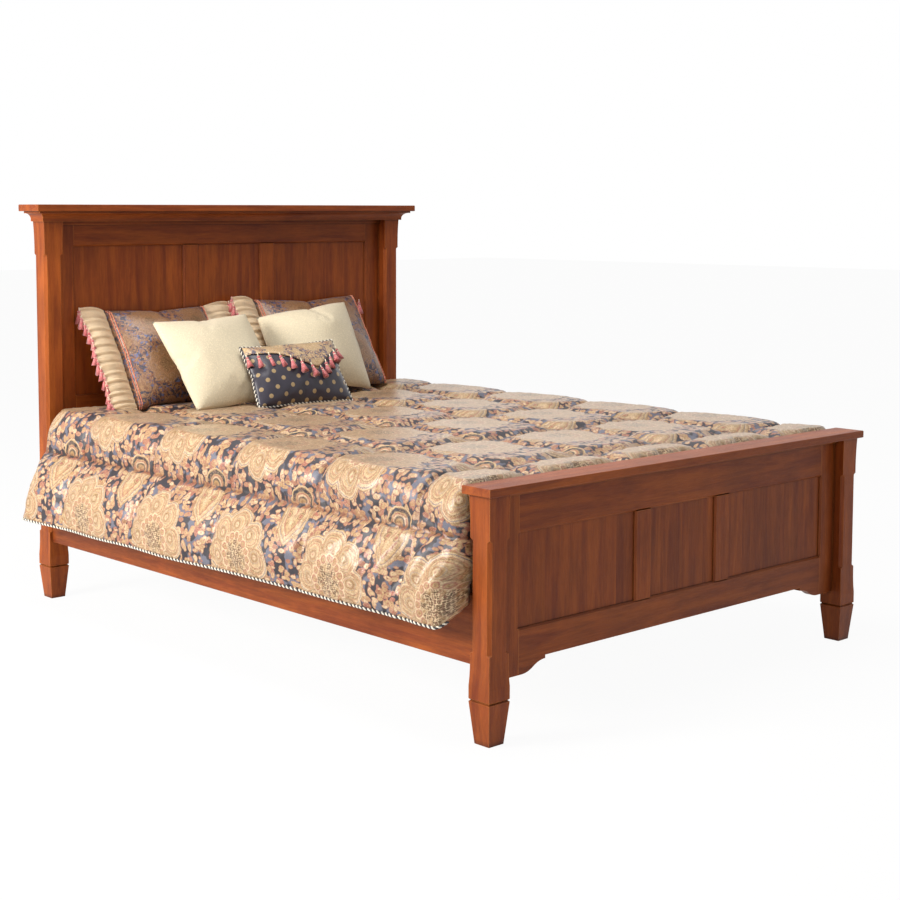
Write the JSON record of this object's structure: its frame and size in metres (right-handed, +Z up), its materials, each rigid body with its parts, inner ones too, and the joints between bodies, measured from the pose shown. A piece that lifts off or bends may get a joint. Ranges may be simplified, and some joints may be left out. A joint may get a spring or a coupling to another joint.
{
  "type": "panel bed",
  "caption": "Queen panel bed with tapered posts, panelled headboard with crown, panelled footboard, side rails, slats, mattress, quilted comforter and pillows.",
  "frame": {"origin": "on the floor, at the middle of the bed's length and width", "axes": "+X across the bed to the right as seen from the foot, +Y along the bed towards the headboard, +Z up"},
  "size_m": [1.844, 2.257, 1.368],
  "materials": {
    "frame_wood": "satin",
    "panel_wood": "satin",
    "plain_wood": "matte",
    "dowel_wood": "matte",
    "zinc_steel": "satin",
    "leveller_plastic": "matte",
    "mattress_ticking": "matte",
    "foundation_cloth": "matte",
    "comforter_cloth": "satin",
    "sham_cloth": "satin",
    "cream_cloth": "matte",
    "accent_cloth": "satin"
  },
  "bodies": {
    "bedstead": {"box_spring": "foundation_cloth", "cap_dowels": "dowel_wood", "centre_beam": "plain_wood", "centre_leg_1": "plain_wood", "centre_leg_2": "plain_wood", "centre_leg_3": "plain_wood", "comforter": "comforter_cloth", "footboard_bottom_rail": "frame_wood", "footboard_cap": "frame_wood", "footboard_mullion_left": "frame_wood", "footboard_mullion_right": "frame_wood", "footboard_panel_centre": "panel_wood", "footboard_panel_left": "panel_wood", "footboard_panel_right": "panel_wood", "footboard_post_left": "frame_wood", "footboard_post_right": "frame_wood", "footboard_stile_left": "frame_wood", "footboard_stile_right": "frame_wood", "footboard_strip": "frame_wood", "footboard_top_rail": "frame_wood", "frame_dowels": "dowel_wood", "headboard_bottom_rail": "frame_wood", "headboard_cap": "frame_wood", "headboard_crown_backer": "frame_wood", "headboard_crown_front": "frame_wood", "headboard_crown_return_left": "frame_wood", "headboard_crown_return_right": "frame_wood", "headboard_mullion_left": "frame_wood", "headboard_mullion_right": "frame_wood", "headboard_panel_centre": "panel_wood", "headboard_panel_left": "panel_wood", "headboard_panel_right": "panel_wood", "headboard_post_left": "frame_wood", "headboard_post_right": "frame_wood", "headboard_stile_left": "frame_wood", "headboard_stile_right": "frame_wood", "headboard_strip": "frame_wood", "headboard_top_rail": "frame_wood", "ledger_left": "plain_wood", "ledger_right": "plain_wood", "ledger_screws": "zinc_steel", "leg_levellers": "leveller_plastic", "mattress": "mattress_ticking", "plate_screws": "zinc_steel", "post_slot_plates": "zinc_steel", "rail_hook_plates": "zinc_steel", "side_rail_left": "frame_wood", "side_rail_right": "frame_wood", "slat_1": "plain_wood", "slat_2": "plain_wood", "slat_3": "plain_wood", "slat_4": "plain_wood", "slat_5": "plain_wood", "slat_screws": "zinc_steel"},
    "sham_left": {"sham_left": "sham_cloth"},
    "sham_right": {"sham_right": "sham_cloth"},
    "cream_pillow_right": {"cream_pillow_right": "cream_cloth"},
    "cream_pillow_left": {"cream_pillow_left": "cream_cloth"},
    "accent_pillow": {"accent_pillow": "accent_cloth"}
  },
  "joints": [
    {"name": "lift_off_sham_left", "type": "slide", "parent": "bedstead", "child": "sham_left", "axis": [0, -0.7071, 0.7071], "range_m": [0, 0.2]},
    {"name": "lift_off_sham_right", "type": "slide", "parent": "sham_left", "child": "sham_right", "axis": [0, -0.7071, 0.7071], "range_m": [0, 0.2]},
    {"name": "lift_off_cream_pillow_right", "type": "slide", "parent": "sham_right", "child": "cream_pillow_right", "axis": [0, -0.7071, 0.7071], "range_m": [0, 0.2]},
    {"name": "lift_off_cream_pillow_left", "type": "slide", "parent": "cream_pillow_right", "child": "cream_pillow_left", "axis": [0, -0.7071, 0.7071], "range_m": [0, 0.2]},
    {"name": "lift_off_accent_pillow", "type": "slide", "parent": "cream_pillow_left", "child": "accent_pillow", "axis": [0, -0.7071, 0.7071], "range_m": [0, 0.2]}
  ]
}
